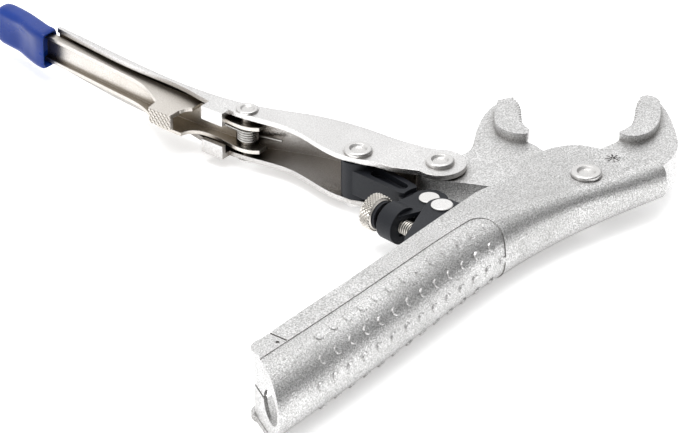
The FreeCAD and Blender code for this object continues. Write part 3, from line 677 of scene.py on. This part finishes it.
def release_spring():
    """Torsion spring about the release pivot, with a leg against each lever."""
    low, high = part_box("release_rivet")
    centre = (low + high) / 2
    coil = grown(COIL, {"Coil Radius": RELEASE_COIL_RADIUS * MM,
                        "Height": 2 * RELEASE_COIL_HALF * MM, "Turns": RELEASE_COIL_TURNS,
                        "Wire Radius": RELEASE_WIRE * MM, "Finish": FINISH["spring_steel"]})
    smooth(coil)
    coil.transform(Matrix.Translation(centre - UP * RELEASE_COIL_HALF * MM))
    legs = []
    for side, run in ((-1, RELEASE_LEG), (1, LEVER_LEG)):
        start = Vector((side * RELEASE_COIL_RADIUS, 0, -side * RELEASE_COIL_HALF))
        first = centre + start * MM
        last = first + Vector(run) * MM
        legs.append(wire([first, first.lerp(last, 0.4), last], RELEASE_WIRE))
    piece = new_piece("release_coil", joined([coil] + legs))
    piece.data.materials.clear()
    piece.data.materials.append(FINISH["spring_steel"])
    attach(piece, "lever_body")
    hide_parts("release_spring")


SLEEVE_MOUTH = 233.6
SLEEVE_END = 265.0
SLEEVE_STEPS = 40
SLEEVE_SIDES = 56
RIDGE_SHARE = 0.72           # share of the half height that the hollow takes up
# place along the lever, then centre, half width, half height, squareness and hollow
SLEEVE_STATIONS = (
    (SLEEVE_MOUTH, (-39.3, 4.0, 7.3, 7.0, 0.0)),
    (234.4, (-39.2, 4.4, 7.75, 7.0, 0.1)),
    (238.0, (-38.8, 4.6, 7.85, 6.0, 0.5)),
    (244.0, (-37.1, 4.8, 7.85, 5.0, 1.3)),
    (251.0, (-35.0, 4.7, 7.85, 4.2, 1.5)),
    (258.0, (-34.0, 4.8, 8.0, 3.8, 1.1)),
    (262.2, (-33.6, 4.6, 8.0, 3.4, 0.6)),
    (264.2, (-33.4, 4.0, 7.2, 3.0, 0.2)),
    (SLEEVE_END, (-33.4, 2.6, 5.6, 2.6, 0.0)),
)
SLEEVE_LINING = (
    (236.6, (-39.0, 3.0, 6.2, 7.0, 0.0)),
    (233.9, (-39.3, 3.4, 6.6, 7.0, 0.0)),
)


def sleeve_ring(y, values):
    """Rounded rectangle across the sleeve, its open face hollowed below a ridge."""
    centre_x, half_x, half_z, squareness, hollow = values
    ring = []
    for k in range(SLEEVE_SIDES):
        turn = 2 * math.pi * k / SLEEVE_SIDES
        c, s = math.cos(turn), math.sin(turn)
        px = math.copysign(abs(c) ** (2.0 / squareness), c) * half_x
        pz = math.copysign(abs(s) ** (2.0 / squareness), s) * half_z
        if c < 0:
            px += hollow * max(0.0, 1.0 - (pz / (RIDGE_SHARE * half_z)) ** 2)
        ring.append(at(centre_x + px, y, pz))
    return ring


def eased(table, y):
    """Value at y of a smooth curve through a table of (place, values)."""
    last = len(table) - 1
    for k in range(last):
        if y <= table[k + 1][0] or k == last - 1:
            break
    y0, a = table[k]
    y1, b = table[k + 1]
    before, after = table[max(k - 1, 0)], table[min(k + 2, last)]
    t = min(1.0, max(0.0, (y - y0) / (y1 - y0)))
    found = []
    for i, (u, v) in enumerate(zip(a, b)):
        slope_u = (v - before[1][i]) / (y1 - before[0]) * (y1 - y0)
        slope_v = (after[1][i] - u) / (after[0] - y0) * (y1 - y0)
        found.append(u + slope_u * t + (3 * (v - u) - 2 * slope_u - slope_v) * t ** 2
                     + (2 * (u - v) + slope_u + slope_v) * t ** 3)
    return found


def grip_sleeve():
    """Dipped sleeve on the release lever: a lofted skin with a lining inside its mouth."""
    build = bmesh.new()
    rings = []
    for y, values in SLEEVE_LINING:
        rings.append([build.verts.new(p) for p in sleeve_ring(y, values)])
    for k in range(SLEEVE_STEPS + 1):
        y = SLEEVE_MOUTH + (SLEEVE_END - SLEEVE_MOUTH) * (k / SLEEVE_STEPS)
        values = eased(SLEEVE_STATIONS, y)
        rings.append([build.verts.new(p) for p in sleeve_ring(y, values)])
    for low, high in zip(rings, rings[1:]):
        for k in range(SLEEVE_SIDES):
            n = (k + 1) % SLEEVE_SIDES
            build.faces.new((low[k], low[n], high[n], high[k]))
    build.faces.new(rings[-1])
    build.faces.new(list(reversed(rings[0])))
    bmesh.ops.recalc_face_normals(build, faces=build.faces)
    mesh = bpy.data.meshes.new("sleeve")
    build.to_mesh(mesh)
    build.free()
    smooth(mesh, 60.0)
    mesh.materials.append(FINISH["blue_vinyl"])
    piece = new_piece("vinyl_sleeve", mesh)
    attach(piece, "release_body")
    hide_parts("grip_sleeve")


# ---- studio ---------------------------------------------------------------------

AIM = at(-70.16, 61.50)
DISTANCE = 1.704
TOWARDS_CAMERA = Vector((-0.673028, -0.545007, 0.5))
LENS = 243.9
SENSOR = 36.0
SKY_LEAN = (0.0, 0.55, 0.83)      # the side the studio walls are brightest on
SKY_RANGE = (-0.24, 0.66)         # the lean at which they are darkest and brightest
SKY_DARK = (0.04, 0.04, 0.04)
SKY_BRIGHT = (1.14, 1.14, 1.14)
FLOOR_HALF = 4.0
FLOOR_LEVEL = -0.0002
FLOOR_GLOW = 0.45                 # keeps the shadows under the tool pale


def aim_at(thing, place, target):
    thing.location = place
    thing.rotation_mode = "QUATERNION"
    thing.rotation_quaternion = (target - place).to_track_quat("-Z", "Y")


def camera():
    lens = bpy.data.cameras.new("camera")
    lens.lens = LENS
    lens.sensor_width = SENSOR
    lens.clip_start = 0.05
    lens.clip_end = 40.0
    thing = bpy.data.objects.new("camera", lens)
    bpy.context.scene.collection.objects.link(thing)
    aim_at(thing, AIM + TOWARDS_CAMERA * DISTANCE, AIM)
    bpy.context.scene.camera = thing


def softbox(name, place, size, power):
    light = bpy.data.lights.new(name, "AREA")
    light.shape = "RECTANGLE"
    light.size, light.size_y = size
    light.energy = power
    thing = bpy.data.objects.new(name, light)
    bpy.context.scene.collection.objects.link(thing)
    aim_at(thing, Vector(place), AIM)


def studio():
    softbox("top softbox", (0.0, 0.1, 1.6), (1.2, 1.2), 13.0)
    softbox("left softbox", (-1.5, 0.6, 0.9), (0.8, 0.8), 2.0)
    world = bpy.data.worlds.new("studio")
    bpy.context.scene.world = world
    world.use_nodes = True
    tree = world.node_tree
    back = tree.nodes["Background"]
    way = node(tree, "ShaderNodeTexCoord").outputs["Generated"]
    lean = node(tree, "ShaderNodeVectorMath", {0: way, 1: SKY_LEAN}, operation="DOT_PRODUCT")
    ramp = node(tree, "ShaderNodeMapRange",
                {"Value": lean.outputs["Value"], "From Min": SKY_RANGE[0],
                 "From Max": SKY_RANGE[1]},
                interpolation_type="LINEAR")
    tone = mixed(tree, ramp.outputs["Result"], SKY_DARK, SKY_BRIGHT)
    tree.links.new(tone, back.inputs["Color"])
    back.inputs["Strength"].default_value = 1.0
    bpy.context.scene.view_settings.view_transform = "Standard"


def floor():
    corners = [(x * FLOOR_HALF, y * FLOOR_HALF, FLOOR_LEVEL)
               for x, y in ((-1, -1), (1, -1), (1, 1), (-1, 1))]
    mesh = bpy.data.meshes.new("floor")
    mesh.from_pydata(corners, [], [(0, 1, 2, 3)])
    piece = new_piece("floor", mesh)
    material, tree, shader = new_material("pale paper floor")
    place = node(tree, "ShaderNodeTexCoord").outputs["Object"]
    mottle = node(tree, "ShaderNodeTexNoise", {"Vector": place, "Scale": 3.0})
    tone = mixed(tree, mottle.outputs["Fac"], (0.93, 0.93, 0.93), (0.95, 0.95, 0.95))
    tree.links.new(tone, shader.inputs["Base Color"])
    shader.inputs["Roughness"].default_value = 0.9
    shader.inputs["Emission Color"].default_value = (1.0, 1.0, 1.0, 1.0)
    shader.inputs["Emission Strength"].default_value = FLOOR_GLOW
    mesh.materials.append(material)


camera()
studio()
floor()
dress_cad_nodes()
grip_pips()
adjusting_screw()
screw_spring()
release_spring()
grip_sleeve()
